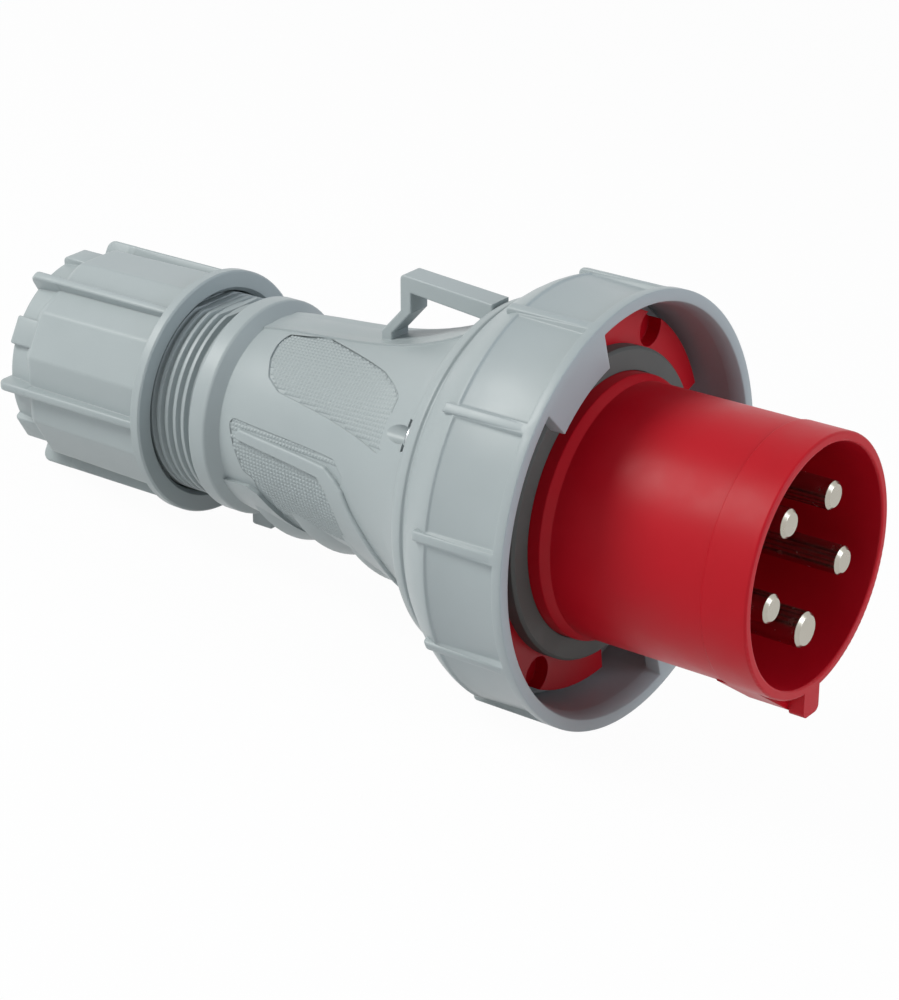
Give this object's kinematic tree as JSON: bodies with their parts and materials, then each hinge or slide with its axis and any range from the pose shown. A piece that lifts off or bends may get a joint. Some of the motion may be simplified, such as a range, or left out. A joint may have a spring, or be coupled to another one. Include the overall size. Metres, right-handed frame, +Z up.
{
  "type": "industrial pin and sleeve plug",
  "caption": "Watertight industrial power plug with round pins in a keyed shroud, a turning bayonet ring, a grip housing with hanging loop and a screw-on cable gland.",
  "frame": {"origin": "centre of the shroud's open rim, on the plug's axis", "axes": "+X along the axis, the way the pins point; +Z up as it lies on two ribs of its ring, with the loop on top, 15.4 degrees towards -Y, and the key below"},
  "size_m": [0.262, 0.1226, 0.123],
  "materials": {
    "red_plastic": "satin moulded plastic",
    "grey_plastic": "satin moulded plastic",
    "dark_plastic": "matt moulded plastic",
    "pin_metal": "nickel-plated, polished",
    "screw_steel": "zinc-plated",
    "seal_rubber": "matt"
  },
  "bodies": {
    "plug_body": {"contact_carrier": "red_plastic", "pin_pe": "pin_metal", "pin_l1": "pin_metal", "pin_l2": "pin_metal", "pin_l3": "pin_metal", "pin_n": "pin_metal", "wire_saddle_pe": "screw_steel", "wire_saddle_l1": "screw_steel", "wire_saddle_l2": "screw_steel", "wire_saddle_l3": "screw_steel", "wire_saddle_n": "screw_steel", "terminal_screws": "screw_steel", "terminal_block": "dark_plastic", "block_screw": "screw_steel", "face_gasket": "seal_rubber", "housing_seal": "seal_rubber", "rear_housing": "grey_plastic", "carrier_screws": "screw_steel"},
    "bayonet_ring": {"locking_ring": "grey_plastic"},
    "gland_clamp": {"clamp_cage": "dark_plastic", "cable_seal": "seal_rubber"},
    "cap_nut": {"gland_nut": "grey_plastic"}
  },
  "joints": [
    {"name": "ring_turn", "type": "hinge", "parent": "plug_body", "child": "bayonet_ring", "pos_m": [-0.08, 0, 0], "axis": [1, 0, 0], "continuous": true},
    {"name": "gland_travel", "type": "slide", "parent": "plug_body", "child": "gland_clamp", "axis": [1, 0, 0], "range_m": [-0.006, 0.012]},
    {"name": "nut_turn", "type": "hinge", "parent": "gland_clamp", "child": "cap_nut", "pos_m": [-0.23, 0, 0], "axis": [1, 0, 0], "range_deg": [-720, 1440]}
  ],
  "couplings": [
    {"joint": "gland_travel", "follows": "nut_turn", "m_per_rad": 0.00047746}
  ]
}
